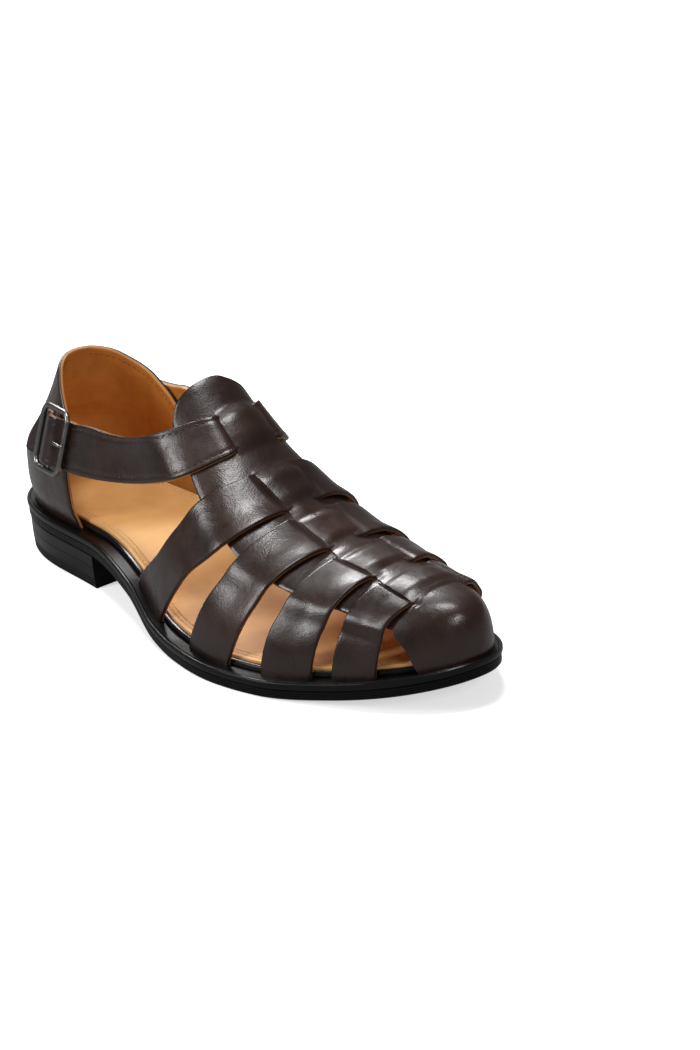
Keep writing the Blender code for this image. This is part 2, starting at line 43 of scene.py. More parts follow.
PHOTO_WIDTH, PHOTO_HEIGHT = 700.0, 1050.0
LENS_PIXELS = 2472.27
CENTRE_PIXEL = (378.088, 503.654)
CAMERA_PLACE = (-0.59592, -0.76404, 0.43435)
SENSOR = 36.0
camera_data = bpy.data.cameras.new("camera")
camera = bpy.data.objects.new("camera", camera_data)
bpy.context.scene.collection.objects.link(camera)
right = Vector((0.73476, -0.67682, -0.04512))
upward = Vector((0.28342, 0.24589, 0.92694))
forward = Vector((0.61628, 0.69387, -0.37250))
turned = [(right[i], upward[i], -forward[i], CAMERA_PLACE[i]) for i in range(3)]
camera.matrix_world = Matrix(turned + [(0, 0, 0, 1)])
camera_data.sensor_fit = "VERTICAL"
camera_data.sensor_height = camera_data.sensor_width = SENSOR
camera_data.lens = SENSOR * LENS_PIXELS / PHOTO_HEIGHT
camera_data.shift_x = (PHOTO_WIDTH / 2 - CENTRE_PIXEL[0]) / PHOTO_HEIGHT
camera_data.shift_y = (CENTRE_PIXEL[1] - PHOTO_HEIGHT / 2) / PHOTO_HEIGHT
camera_data.clip_start = 0.05
camera_data.clip_end = 50.0
bpy.context.scene.camera = camera


def lamp(name, place, aim, size, power):
    """A broad rectangular lamp: metres and watts."""
    data = bpy.data.lights.new(name, "AREA")
    data.shape = "RECTANGLE"
    data.size, data.size_y = size
    data.energy = power
    made = bpy.data.objects.new(name, data)
    made.location = place
    made.rotation_euler = (Vector(aim) - Vector(place)).to_track_quat("-Z", "Y").to_euler()
    bpy.context.scene.collection.objects.link(made)


lamp("back", (0.45, 1.0, 1.05), (0, 0, 0.04), (0.55, 0.35), 15.0)
lamp("left", (-1.2, 0.45, 0.8), (0, 0, 0.04), (0.35, 0.6), 8.0)
lamp("overhead", (-0.1, -0.1, 1.5), (0, 0, 0), (0.4, 0.5), 13.0)
lamp("front", (-0.5, -1.5, 1.0), (0, 0, 0.03), (0.5, 0.4), 6.0)
world = bpy.data.worlds.new("white_room")
world.use_nodes = True
world.node_tree.nodes["Background"].inputs["Color"].default_value = (1.0, 1.0, 1.0, 1.0)
# The room is white to the eye and dim to the leather, so that its sheen keeps its contrast
ROOM_DIM, ROOM_SEEN = 0.14, 1.0
eye = world.node_tree.nodes.new("ShaderNodeLightPath")
room = world.node_tree.nodes.new("ShaderNodeMapRange")
room.inputs["To Min"].default_value = ROOM_DIM
room.inputs["To Max"].default_value = ROOM_SEEN
world.node_tree.links.new(eye.outputs["Is Camera Ray"], room.inputs["Value"])
world.node_tree.links.new(room.outputs[0], world.node_tree.nodes["Background"].inputs["Strength"])
bpy.context.scene.world = world
bpy.context.scene.view_settings.view_transform = "Standard"
bpy.context.scene.view_settings.look = "None"


def linear(code):
    """An sRGB hex colour as a linear one."""
    channels = [int(code[i : i + 2], 16) / 255 for i in (1, 3, 5)]
    straight = [c / 12.92 if c <= 0.04045 else ((c + 0.055) / 1.055) ** 2.4 for c in channels]
    return (*straight, 1.0)


class Finish:
    """A material being built. add() makes one node with its settings and links, of which i0, i1
    and so on go to inputs by number. join() links a source to the shader."""

    def __init__(self, name):
        self.material = bpy.data.materials.new(name)
        self.material.use_nodes = True
        self.tree = self.material.node_tree
        self.shader = self.tree.nodes["Principled BSDF"]

    def add(self, kind, settings=None, **links):
        node = self.tree.nodes.new(kind)
        for key, value in (settings or {}).items():
            if isinstance(key, str) and hasattr(node, key):
                setattr(node, key, value)
            else:
                node.inputs[key].default_value = value
        for key, source in links.items():
            numbered = key[0] == "i" and key[1:].isdigit()
            self.tree.links.new(source, node.inputs[int(key[1:]) if numbered else key])
        return node

    def join(self, source, socket):
        self.tree.links.new(source, self.shader.inputs[socket])


# Floor
# Matte white paper sweep, bright as in the photo, that takes a soft contact shadow.

SWEEP = 15
floor_mesh = bpy.data.meshes.new("floor")
corners = [(-SWEEP, -SWEEP, 0), (SWEEP, -SWEEP, 0), (SWEEP, SWEEP, 0), (-SWEEP, SWEEP, 0)]
floor_mesh.from_pydata(corners, [], [(0, 1, 2, 3)])
floor = bpy.data.objects.new("floor", floor_mesh)
bpy.context.scene.collection.objects.link(floor)
paper = Finish("white_paper")
paper.shader.inputs["Roughness"].default_value = 0.9
paper.shader.inputs["Emission Color"].default_value = linear("#FFFFFF")
# Brighter to the eye than to the leather, as the white room is
seen = paper.add("ShaderNodeLightPath").outputs["Is Camera Ray"]
glow = paper.add("ShaderNodeMapRange", {"To Min": 0.05, "To Max": 0.6}, Value=seen)
paper.join(glow.outputs[0], "Emission Strength")
tone = paper.add("ShaderNodeMapRange", {"To Min": 0.22, "To Max": 0.95}, Value=seen)
paper.join(tone.outputs[0], "Base Color")
floor_mesh.materials.append(paper.material)

# Outsole
# A sheet of black sole leather under the whole foot. Its edge is trimmed with a wheel that leaves
# fine level grooves, then waxed and ironed to a satin black.

MM = 0.001
LENGTH = 288.0
WIDTH = 107.8
AXIS = 7.7
HEEL_HEIGHT = 16.0
TOE_SPRING = 14.0
OUTSOLE = 4.4
WELT = 2.9
GAP = 0.3
SOLE_TOP = OUTSOLE + GAP + WELT


def table(names, *rows):
    return dict(zip(names.split(), np.array(rows, float).T))


SOLE = table(
    "along outer inner",
    (0.000, 0.000, 0.000),
    (0.020, 0.150, 0.150),
    (0.060, 0.240, 0.245),
    (0.140, 0.308, 0.306),
    (0.270, 0.340, 0.305),
    (0.400, 0.422, 0.280),
    (0.520, 0.522, 0.342),
    (0.640, 0.571, 0.422),
    (0.740, 0.529, 0.428),
    (0.840, 0.415, 0.350),
    (0.920, 0.300, 0.252),
    (0.970, 0.188, 0.156),
    (0.990, 0.112, 0.092),
    (1.000, 0.000, 0.000),
)
ARCH = table(
    "along height",
    (0.00, 1.00),
    (0.27, 0.98),
    (0.33, 0.92),
    (0.40, 0.72),
    (0.50, 0.14),
    (0.56, 0.00),
    (0.70, 0.00),
)
BALL_END = 0.70
BREAST = 0.272


def smooth(x, xs, ys):
    """A smooth curve through (xs, ys) that never overshoots."""
    x = np.asarray(x, float)
    step = np.diff(xs)
    slope = np.diff(ys) / step
    turn = np.concatenate([[slope[0]], np.zeros(len(xs) - 2), [slope[-1]]])
    same = slope[1:] * slope[:-1] > 0
    turn[1:-1][same] = 2 / (1 / slope[1:][same] + 1 / slope[:-1][same])
    i = np.clip(np.searchsorted(xs, x, side="right") - 1, 0, len(step) - 1)
    t = (x - xs[i]) / step[i]
    back = ys[i] * (1 + 2 * t) * (1 - t) ** 2 + turn[i] * step[i] * t * (1 - t) ** 2
    front = ys[i + 1] * t**2 * (3 - 2 * t) + turn[i + 1] * step[i] * t**2 * (t - 1)
    return back + front


def above(height):
    """A line this high over the outsole's underside, for a ring of a layer."""
    return lambda y: under(y) + height


def level(height):
    """A level line, for a ring of a layer."""
    return lambda y: height + 0 * y


def turn_of(along):
    """Turn runs from 0 at the heel to 1 at the toe and slows down round both ends."""
    return np.arccos(1 - 2 * np.clip(along, 0, 1)) / np.pi


def under(y):
    """Height of the outsole's underside."""
    along = 0.5 - np.asarray(y, float) / LENGTH
    arch = smooth(np.clip(along, 0, BALL_END), ARCH["along"], ARCH["height"])
    spring = np.clip((along - BALL_END) / (1 - BALL_END), 0, 1.05) ** 2
    return HEEL_HEIGHT * arch + TOE_SPRING * spring


def edge(turn, side, inset=0.0):
    """Point of the sole's outline, side -1 outer or 1 inner, moved inwards by inset."""
    turn = np.asarray(turn, float)

    def at(t):
        share = smooth(t, turn_of(SOLE["along"]), SOLE["inner" if side > 0 else "outer"])
        return np.stack([AXIS + side * share * WIDTH, LENGTH * np.cos(np.pi * t) / 2], -1)

    way = at(np.clip(turn + 0.004, 0, 1)) - at(np.clip(turn - 0.004, 0, 1))
    way /= np.linalg.norm(way, axis=-1, keepdims=True)
    return at(turn) + inset * side * np.stack([way[..., 1], -way[..., 0]], -1)


def mesh_piece(name, points, faces, finishes, nodes=(), marks=None, smooth_angle=40):
    """A mesh object that rides on the sandal, from points in millimetres. marks picks the material
    of each face, and nodes are the solids that it stands in for."""
    mesh = bpy.data.meshes.new(name)
    mesh.from_pydata((np.asarray(points) * MM).tolist(), [], faces)
    for finish in finishes:
        mesh.materials.append(finish)
    if marks is not None:
        mesh.polygons.foreach_set("material_index", np.asarray(marks, np.int32))
    mesh.polygons.foreach_set("use_smooth", np.ones(len(mesh.polygons), bool))
    mesh.set_sharp_from_angle(angle=np.radians(smooth_angle))
    mesh.update()
    made = bpy.data.objects.new(name, mesh)
    bpy.context.scene.collection.objects.link(made)
    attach(made, "root")
    if nodes:
        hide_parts(*nodes)
    return made


def loft(sections, closed=False):
    """Faces between closed sections of equal count, with both ends filled."""
    count, size = sections.shape[:2]
    faces = []
    for i in range(count if closed else count - 1):
        a, b = i * size, (i + 1) % count * size
        for j in range(size):
            k = (j + 1) % size
            faces.append((b + j, b + k, a + k, a + j))
    if not closed:
        faces.append(tuple(range(size)))
        faces.append(tuple(range((count - 1) * size, count * size))[::-1])
    return sections.reshape(-1, 3), faces


def layer(name, final, count, rings, finish, node):
    """A layer of the sole from the heel's back to this share of the length. rings lists its rims
    from the bottom one up, each as its inset and its line of height."""
    turns = np.linspace(0, turn_of(final), count)
    sections = []
    for side, order in ((-1, rings), (1, rings[::-1])):
        for inset, height in order:
            rim = edge(turns, side, inset)
            rim[(turns <= 0) | (turns >= 1), 0] = AXIS
            sections.append(np.column_stack([rim, height(rim[:, 1])]))
    points, faces = loft(np.stack(sections, 1))
    made = mesh_piece(name, points, faces, [finish.material], [node], smooth_angle=35)
    # Both sides meet in one line at the heel's back and at the toe
    whole = bmesh.new()
    whole.from_mesh(made.data)
    bmesh.ops.remove_doubles(whole, verts=whole.verts, dist=1e-7)
    whole.to_mesh(made.data)
    whole.free()
    return made


def per(size):
    """The scale that gives a pattern this size in millimetres."""
    return 1 / (size * MM)


def black_edge(name, colour, rough):
    """Black waxed sole edge: satin, with clouds of wax about 17 mm across and level scratches
    about 0.4 mm apart from the trimming wheel."""
    made = Finish(name)
    place = made.add("ShaderNodeTexCoord").outputs["Object"]
    wax = made.add("ShaderNodeTexNoise", {"Scale": per(16.667), "Detail": 4.0}, Vector=place)
    cloud = wax.outputs["Fac"]
    scratch = (per(16.667), per(16.667), per(0.3846))
    stretched = made.add("ShaderNodeMapping", {"Scale": scratch}, Vector=place).outputs[0]
    wheel = made.add("ShaderNodeTexNoise", {"Scale": 1.0, "Detail": 3.0}, Vector=stretched)
    tint = made.add("ShaderNodeValToRGB", Fac=cloud)
    tint.color_ramp.elements[0].color = linear(colour[0])
    tint.color_ramp.elements[1].color = linear(colour[1])
    made.join(tint.outputs[0], "Base Color")
    span = {"To Min": rough - 0.08, "To Max": rough + 0.1}
    made.join(made.add("ShaderNodeMapRange", span, Value=cloud).outputs[0], "Roughness")
    relief = {"Strength": 0.25, "Distance": 0.0002}
    bump = made.add("ShaderNodeBump", relief, Height=wheel.outputs["Fac"])
    made.join(bump.outputs[0], "Normal")
    made.shader.inputs["Specular IOR Level"].default_value = 0.28
    return made


sole_black = black_edge("waxed_sole_leather", ("#040404", "#0B0B0B"), 0.33)
EDGE_INSET = 0.5
GROOVES = 4
GROOVE_DEEP = 0.32
GROOVE_HALF = 0.22
FIRST_GROOVE = 0.95
rings = [(1.3, above(0)), (EDGE_INSET, above(0.7))]
for groove in range(GROOVES):
    centre = FIRST_GROOVE + groove * (OUTSOLE - 1.5) / (GROOVES - 1)
    rings.append((EDGE_INSET, above(centre - GROOVE_HALF)))
    rings.append((EDGE_INSET + GROOVE_DEEP, above(centre)))
    rings.append((EDGE_INSET, above(centre + GROOVE_HALF)))
rings += [(EDGE_INSET, above(OUTSOLE - 0.2)), (0.8, above(OUTSOLE))]
layer("outsole_edge", 1.0, 150, rings, sole_black, "outsole")

# Welt
# A black leather strip stitched to the upper all round, a few millimetres wider than it, with a
# rounded rim and a fine wheel line along its top.

rings = [
    (0.45, above(OUTSOLE + 0.12)),
    (0.12, above(OUTSOLE + 0.5)),
    (0.0, above(OUTSOLE + GAP + 0.9)),
    (0.0, above(SOLE_TOP - 0.8)),
    (0.15, above(SOLE_TOP - 0.35)),
    (0.5, above(SOLE_TOP - 0.06)),
    (0.9, above(SOLE_TOP)),
    (1.3, above(SOLE_TOP - 0.02)),
    (1.55, above(SOLE_TOP - 0.28)),
    (1.8, above(SOLE_TOP - 0.02)),
    (4.2, above(SOLE_TOP)),
]
welt_black = black_edge("waxed_welt_leather", ("#040404", "#0A0A0A"), 0.3)
layer("welt_strip", 1.0, 150, rings, welt_black, "welt")

# Heel
# Layers of black leather board, pressed and nailed, trimmed flush and waxed like the sole, on a
# thin black rubber top piece that takes the wear.

TOP_PIECE = 4.5
JOINT = 10.15
rings = [
    (1.45, level(TOP_PIECE + 0.1)),
    (1.3, level(TOP_PIECE + 0.35)),
    (1.12, level(JOINT - 0.15)),
    (1.28, level(JOINT)),
    (1.1, level(JOINT + 0.15)),
    (0.95, above(-0.35)),
    (1.2, above(-0.05)),
]
layer("heel_layers", BREAST, 60, rings, sole_black, "heel_stack")
rubber = black_edge("black_heel_rubber", ("#0B0B0B", "#151515"), 0.55)
rings = [
    (2.1, level(0)),
    (1.75, level(0.4)),
    (1.45, level(TOP_PIECE - 0.3)),
    (1.55, level(TOP_PIECE - 0.05)),
]
layer("heel_rubber", BREAST, 60, rings, rubber, "heel_top_piece")

# Insole
# A lasting board with a glossy black edge, which shows as a thin rim between the straps, and on it
# a smooth light tan sock, glued down and stitched in two rows near its edge.

FEATHER = 4.5
TOE_FEATHER = 2.4
LEATHER = 2.0
BOARD = 2.2
SOCK = 1.3
INSIDE = FEATHER + LEATHER + GAP + 0.1


def seat(y, height):
    """Height over the floor of what lies this high over the welt."""
    return under(y) + SOLE_TOP + height


board_black = black_edge("glossy_board_edge", ("#0B0A0B", "#161516"), 0.2)
BOARD_TOP = SOLE_TOP + GAP + BOARD
rings = [
    (INSIDE, above(SOLE_TOP + GAP)),
    (INSIDE, above(BOARD_TOP - 0.8)),
    (INSIDE + 0.25, above(BOARD_TOP - 0.3)),
    (INSIDE + 0.7, above(BOARD_TOP - 0.05)),
    (INSIDE + 1.2, above(BOARD_TOP)),
]
layer("insole_rim", 1.0, 130, rings, board_black, "insole_board")

# Vegetable tanned calf, rolled smooth: an even matte tan with soft mottling and fine pores
tan = Finish("tan_sock_leather")
place = tan.add("ShaderNodeTexCoord").outputs["Object"]
noise = {"Scale": per(28.571), "Detail": 5.0, "Roughness": 0.6}
mottle = tan.add("ShaderNodeTexNoise", noise, Vector=place)
tint = tan.add("ShaderNodeValToRGB", Fac=mottle.outputs["Fac"])
tint.color_ramp.elements[0].color = linear("#D39A58")
tint.color_ramp.elements[0].position = 0.3
tint.color_ramp.elements[1].color = linear("#E6B476")
tint.color_ramp.elements[1].position = 0.7
tan.join(tint.outputs[0], "Base Color")
pores = tan.add("ShaderNodeTexVoronoi", {"Scale": per(0.7143)}, Vector=place).outputs["Distance"]
bump = tan.add("ShaderNodeBump", {"Strength": 0.12, "Distance": 0.0001}, Height=pores)
tan.join(bump.outputs[0], "Normal")
tan.shader.inputs["Roughness"].default_value = 0.5
tan.shader.inputs["Specular IOR Level"].default_value = 0.28
SOCK_BASE = BOARD + 2 * GAP - 0.28
SOCK_TOP = SOLE_TOP + SOCK_BASE + SOCK
CHANNELS = (3.9, 6.0)
CHANNEL_HALF = 0.3
CHANNEL_DEEP = 0.22
rings = [
    (INSIDE + 1.8, above(SOLE_TOP + SOCK_BASE)),
    (INSIDE + 1.8, above(SOCK_TOP - 0.5)),
    (INSIDE + 1.95, above(SOCK_TOP - 0.15)),
    (INSIDE + 2.3, above(SOCK_TOP)),
]
for channel in CHANNELS:
    rings.append((INSIDE + channel - CHANNEL_HALF, above(SOCK_TOP)))
    rings.append((INSIDE + channel, above(SOCK_TOP - CHANNEL_DEEP)))
    rings.append((INSIDE + channel + CHANNEL_HALF, above(SOCK_TOP)))
layer("insole_sock_leather", 1.0, 140, rings, tan, "insole_sock")

# Vamp and toe cap
# One piece of burnished dark brown calf drawn over the last: a rounded tongue, wings between the
# straps, four pairs of slits and a closed toe. Its middle swells where the straps pass under it.

INSTEP = 92.5
RIDGE = table(
    "along height shift power",
    (0.354, 1.160, 0.0, 1.15),
    (0.417, 1.044, -1.0, 1.02),
    (0.460, 0.970, -2.0, 1.15),
    (0.552, 0.751, -2.5, 1.00),
    (0.646, 0.541, -2.5, 0.92),
    (0.729, 0.438, -2.5, 0.86),
    (0.823, 0.368, -2.0, 0.82),
    (0.900, 0.320, -1.5, 0.79),
    (0.945, 0.285, -1.0, 0.78),
    (0.975, 0.243, -0.5, 0.78),
    (0.990, 0.190, 0.0, 0.82),
    (1.000, 0.000, 0.0, 1.00),
)
WEAVE = table(
    "foot_out mid_out wing_out slit_out slit_in wing_in mid_in foot_in "
    "edge_out cut_out cut_in edge_in",
    (0.445, 0.448, 0.4507, 0.463, 0.4705, 0.4712, 0.468, 0.465, 0.342, 0.083, 0.083, 0.251),
    (0.455, 0.458, 0.4590, 0.480, 0.4800, 0.4610, 0.460, 0.458, 0.408, 0.160, 0.165, 0.405),
    (0.470, 0.478, 0.490, 0.501, 0.502, 0.486, 0.478, 0.470, 0.412, 0.175, 0.185, 0.500),
    (0.490, 0.500, 0.522, 0.549, 0.553, 0.535, 0.500, 0.490, 0.432, 0.150, 0.155, 0.560),
    (0.418, 0.500, 0.552, 0.581, 0.581, 0.563, 0.517, 0.468, 0.443, 0.138, 0.142, 0.600),
    (0.505, 0.564, 0.622, 0.645, 0.644, 0.623, 0.594, 0.565, 0.451, 0.092, 0.100, 0.515),
    (0.593, 0.620, 0.648, 0.660, 0.661, 0.647, 0.627, 0.610, 0.455, 0.105, 0.120, 0.517),
    (0.679, 0.697, 0.7165, 0.734, 0.734, 0.724, 0.706, 0.692, 0.448, 0.090, 0.095, 0.515),
    (0.735, 0.739, 0.750, 0.757, 0.752, 0.746, 0.740, 0.735, 0.446, 0.120, 0.128, 0.500),
    (0.806, 0.810, 0.8175, 0.829, 0.828, 0.815, 0.809, 0.806, 0.465, 0.130, 0.135, 0.497),
    (0.834, 0.836, 0.839, 0.847, 0.844, 0.840, 0.836, 0.833, 0.483, 0.165, 0.172, 0.490),
    (0.892, 0.895, 0.898, 0.914, 0.918, 0.906, 0.902, 0.900, 0.560, 0.280, 0.300, 0.560),
    (0.941, 0.926, 0.906, 0.925, 0.927, 0.914, 0.937, 0.955, 0.566, 0.280, 0.300, 0.566),
)
ANKLE_BACK, ANKLE_FRONT, FIRST_BACK, CAP = 2, 3, 4, 12
RIM_TURN = np.linspace(0, 1, 401)[:, None]
# The welt shows less in front of the toe than along the sides
TOE_STARTS = 0.72
toe_share = np.clip((RIM_TURN - TOE_STARTS) / (1 - TOE_STARTS), 0, 1)
RIM_INSET = LEATHER + FEATHER + (TOE_FEATHER - FEATHER) * toe_share
RIM = {side: edge(RIM_TURN[:, 0], side, RIM_INSET) for side in (-1, 1)}
BACK = RIM[1][0, 1]
FRONT = RIM[1][-1, 1]


def rim_x(y, side):
    """Where the upper meets the welt, side -1 outer or 1 inner."""
    return np.interp(-y, -RIM[side][:, 1], RIM[side][:, 0])


def surface_normal(at, first, second, step):
    """Unit normal of the surface at(first, second), from small steps both ways."""
    one = at(first + step[0], second) - at(first - step[0], second)
    two = at(first, second + step[1]) - at(first, second - step[1])
    normal = np.cross(one, two)
    return normal / np.maximum(np.linalg.norm(normal, axis=-1, keepdims=True), 1e-12)


def last(turn, across, out=0.0):
    """Point on the last over the foot, moved outwards by out. across is -1 at the outer rim, 0 on
    the ridge and 1 at the inner rim."""
    turn, across = np.broadcast_arrays(np.asarray(turn, float), np.asarray(across, float))

    def at(t, u):
        t = np.clip(t, 0, 1)
        y = BACK + (FRONT - BACK) * (1 - np.cos(np.pi * t)) / 2
        knots = turn_of(RIDGE["along"])
        high = INSTEP * smooth(t, knots, RIDGE["height"])
        top = AXIS + smooth(t, knots, RIDGE["shift"])
        angle = np.clip(1 - np.abs(u), -0.2, 1) * np.pi / 2
        reach = np.sign(np.cos(angle)) * np.abs(np.cos(angle)) ** smooth(t, knots, RIDGE["power"])
        x = top + (np.where(u < 0, rim_x(y, -1), rim_x(y, 1)) - top) * reach
        return np.stack([x, y, under(y) + SOLE_TOP + GAP + high * np.sin(angle)], -1)

    near_tip, near_rim = np.minimum(turn, 0.992), np.clip(across, -0.998, 0.998)
    normal = surface_normal(at, near_tip, near_rim, (1e-3, 1e-3))
    normal[turn > 0.9995] = (0, -1, 0)
    return at(turn, across) + np.asarray(out, float)[..., None] * normal


def ease(value):
    """0 to 1 with soft ends."""
    value = np.clip(value, 0, 1)
    return value * value * (3 - 2 * value)


def last_turn(along):
    """The turn on the last at this share of the sole's length."""
    return turn_of((BACK - LENGTH * (0.5 - along)) / (BACK - FRONT))


def weave_row(at):
    """The row of WEAVE at this number, between rows too."""
    return {name: np.interp(at, np.arange(len(column)), column) for name, column in WEAVE.items()}


def row_shape(value, columns):
    """Place across and share of the length of each column (side, zone, share) of a row."""
    knots = np.array([-1.0, -0.76, -value["edge_out"], -value["cut_out"]])
    knots = np.append(knots, [value["cut_in"], value["edge_in"], 0.82, 1.0])
    names = "foot_out mid_out wing_out slit_out slit_in wing_in mid_in foot_in".split()
    side, zone, share = np.array(columns).T
    wing = np.where(side < 0, value["edge_out"], value["edge_in"])
    cut = np.where(side < 0, value["cut_out"], value["cut_in"])
    place = np.where(zone == 0, wing + (1 - wing) * share, cut + (wing - cut) * share)
    place = np.where(zone == 2, (cut - 0.003) * share, place)
    return side * place, smooth(side * place, knots, np.array([value[name] for name in names]))


OUTER_LAYER = 0.4


def wall(outer, inner, filled=None, pole=False, cuts=None):
    """Both skins of the filled cells, or of all of them, and their sides. Marks are 0 outer skin,
    1 the cut edge's outer layer, 2 lining, 3 its inner layer. Cells in cuts are a cut edge too."""
    rows, columns = outer.shape[:2]
    if filled is None:
        filled = np.ones((rows - 1, columns - 1), bool)
    index = np.arange(rows * columns).reshape(rows, columns)
    if pole:
        index[-1, :] = index[-1, 0]
    low = rows * columns
    faces, marks = [], []

    def add(mark, *corners):
        kept = [c for i, c in enumerate(corners) if c != corners[i - 1]]
        if len(kept) > 2:
            faces.append(tuple(kept))
            marks.append(mark)

    for i in range(rows - 1):
        for j in range(columns - 1):
            if not filled[i][j]:
                continue
            a, b, c, d = index[i, j], index[i, j + 1], index[i + 1, j + 1], index[i + 1, j]
            add(1 if cuts is not None and cuts[i][j] else 0, d, c, b, a)
            add(2, a + low, b + low, c + low, d + low)
            around = ((i - 1, j, a, b), (i, j + 1, b, c), (i + 1, j, c, d), (i, j - 1, d, a))
            for k, m, p, q in around:
                if not (0 <= k < rows - 1 and 0 <= m < columns - 1 and filled[k][m]):
                    add(1, p, q, q + 2 * low, p + 2 * low)
                    add(3, p + 2 * low, q + 2 * low, q + low, p + low)
    middle_line = outer * (1 - OUTER_LAYER) + inner * OUTER_LAYER
    points = np.concatenate([skin.reshape(-1, 3) for skin in (outer, inner, middle_line)])
    used = np.unique(np.concatenate([np.array(f) for f in faces]))
    place = np.zeros(len(points), int)
    place[used] = np.arange(len(used))
    return points[used], [tuple(int(place[c]) for c in face) for face in faces], marks


def calf(name, dark, light, rough, grain):
    """Burnished calf: dye that clouds over about 35 mm, a soft waxed sheen that is worn in patches
    of about 13 mm, fine grain, and slack in the hide."""
    made = Finish(name)
    place = made.add("ShaderNodeTexCoord").outputs["Object"]
    dye = {"Scale": per(35.714), "Detail": 6.0, "Roughness": 0.65}
    cloud = made.add("ShaderNodeTexNoise", dye, Vector=place)
    tint = made.add("ShaderNodeValToRGB", Fac=cloud.outputs["Fac"])
    tint.color_ramp.elements[0].color = linear(dark)
    tint.color_ramp.elements[0].position = 0.32
    tint.color_ramp.elements[1].color = linear(light)
    tint.color_ramp.elements[1].position = 0.68
    made.join(tint.outputs[0], "Base Color")
    patches = {"Scale": per(13.333), "Detail": 5.0, "Roughness": 0.7}
    wear = made.add("ShaderNodeTexNoise", patches, Vector=place).outputs["Fac"]
    span = {"From Min": 0.3, "From Max": 0.7, "To Min": rough - 0.1, "To Max": rough + 0.14}
    made.join(made.add("ShaderNodeMapRange", span, Value=wear).outputs[0], "Roughness")
    # Grain cells 0.67 mm across, drawn coarser than the real ones so that they show
    grains = made.add("ShaderNodeTexVoronoi", {"Scale": per(0.66667)}, Vector=place)
    cells = grains.outputs["Distance"]
    folds = made.add("ShaderNodeTexNoise", {"Scale": per(4.5455), "Detail": 4.0}, Vector=place)
    creases = folds.outputs["Fac"]
    added = {"operation": "MULTIPLY_ADD", 1: 0.35}
    both = made.add("ShaderNodeMath", added, i0=cells, i2=creases).outputs[0]
    fine = made.add("ShaderNodeBump", {"Strength": grain, "Distance": 0.0002}, Height=both)
    # Slack in the hide, in waves of about 17 mm, breaks the light into streaks
    waves = {"Scale": per(16.667), "Detail": 2.5, "Distortion": 0.4}
    slack = made.add("ShaderNodeTexNoise", waves, Vector=place).outputs["Fac"]
    deep = {"Strength": 0.38 * grain, "Distance": 0.0022}
    bump = made.add("ShaderNodeBump", deep, Height=slack, Normal=fine.outputs[0])
    made.join(bump.outputs[0], "Normal")
    made.shader.inputs["Coat Weight"].default_value = 0.3
    made.shader.inputs["Coat Roughness"].default_value = 0.22
    made.tree.links.new(bump.outputs[0], made.shader.inputs["Coat Normal"])
    return made


brown_calf = calf("burnished_brown_calf", "#160C08", "#321B12", 0.33, 0.5)
raw_edge = calf("raw_brown_edge", "#1A100B", "#332015", 0.65, 0.3)
flesh_lining = calf("tan_calf_lining", "#B8702A", "#DE9A48", 0.5, 0.12)
light_edge = calf("light_cut_edge", "#A06C3C", "#C8925A", 0.6, 0.3)
tan_edge = calf("tan_raw_edge", "#5E3A22", "#8A5A34", 0.6, 0.3)
flesh_lining.shader.inputs["Coat Weight"].default_value = 0.05
LEATHERS = [f.material for f in (brown_calf, raw_edge, flesh_lining, tan_edge)]

# Columns from the outer rim to the inner one: zone 0 lies beyond the vamp's own edge, zone 1 from
# there to the slits, and zone 2 between the slits
half = [(0, s) for s in (1.0, 0.985, 0.95, 0.9, 0.84, 0.78, 0.72, 0.66, 0.6)]
half += [(0, s) for s in (0.54, 0.48, 0.42, 0.36, 0.3, 0.24, 0.18, 0.12, 0.06)]
half += [(1, s) for s in (1.0, 0.985, 0.95, 0.88, 0.76, 0.64, 0.52, 0.4, 0.28, 0.16, 0.07, 0.01)]
half += [(2, s) for s in (1.0, 0.97, 0.93, 0.86, 0.76, 0.66, 0.56, 0.46, 0.36, 0.26, 0.18, 0.09)]
columns = [(-1, *h) for h in half] + [(1, 2, 0.0)] + [(1, *h) for h in half[::-1]]
zone_of, share_of = np.array(columns).T[1:]
steps = [np.linspace(0, 4, 33)[:-1]]
for back in range(FIRST_BACK, CAP, 2):
    steps += [back + np.linspace(0, 1, 25)[:-1], back + 1 + np.linspace(0, 1, 9)[:-1]]
steps = np.concatenate(steps)
SWELL = 1.95
SPINE_LEAST = 0.42
BULGE_MARGIN = 1.4
# Rows of WEAVE at a strap's two edges, the shoulder's length and the height as a share of SWELL
BULGES = [(ANKLE_BACK, ANKLE_FRONT, 5.0, 1.4)]
BULGES += [(back, back + 1, 7.4, 1.1) for back in range(FIRST_BACK, CAP, 2)]


def swelling(at, value_at):
    """How far the vamp's middle stands up over each strap beneath it, as a share of SWELL, with
    soft shoulders."""
    total = np.zeros_like(at)
    for back, front, shoulder, height in BULGES:
        start, stop = (LENGTH * WEAVE["slit_out"][k] for k in (back, front))
        here = LENGTH * value_at
        rises = ease((here - start + BULGE_MARGIN) / shoulder)
        falls = ease((stop - here + BULGE_MARGIN) / shoulder)
        total = np.maximum(total, height * (rises * falls))
    between = (at > FIRST_BACK + 0.8) & (at < CAP - 1)
    return np.where(between, np.maximum(total, SPINE_LEAST), total)


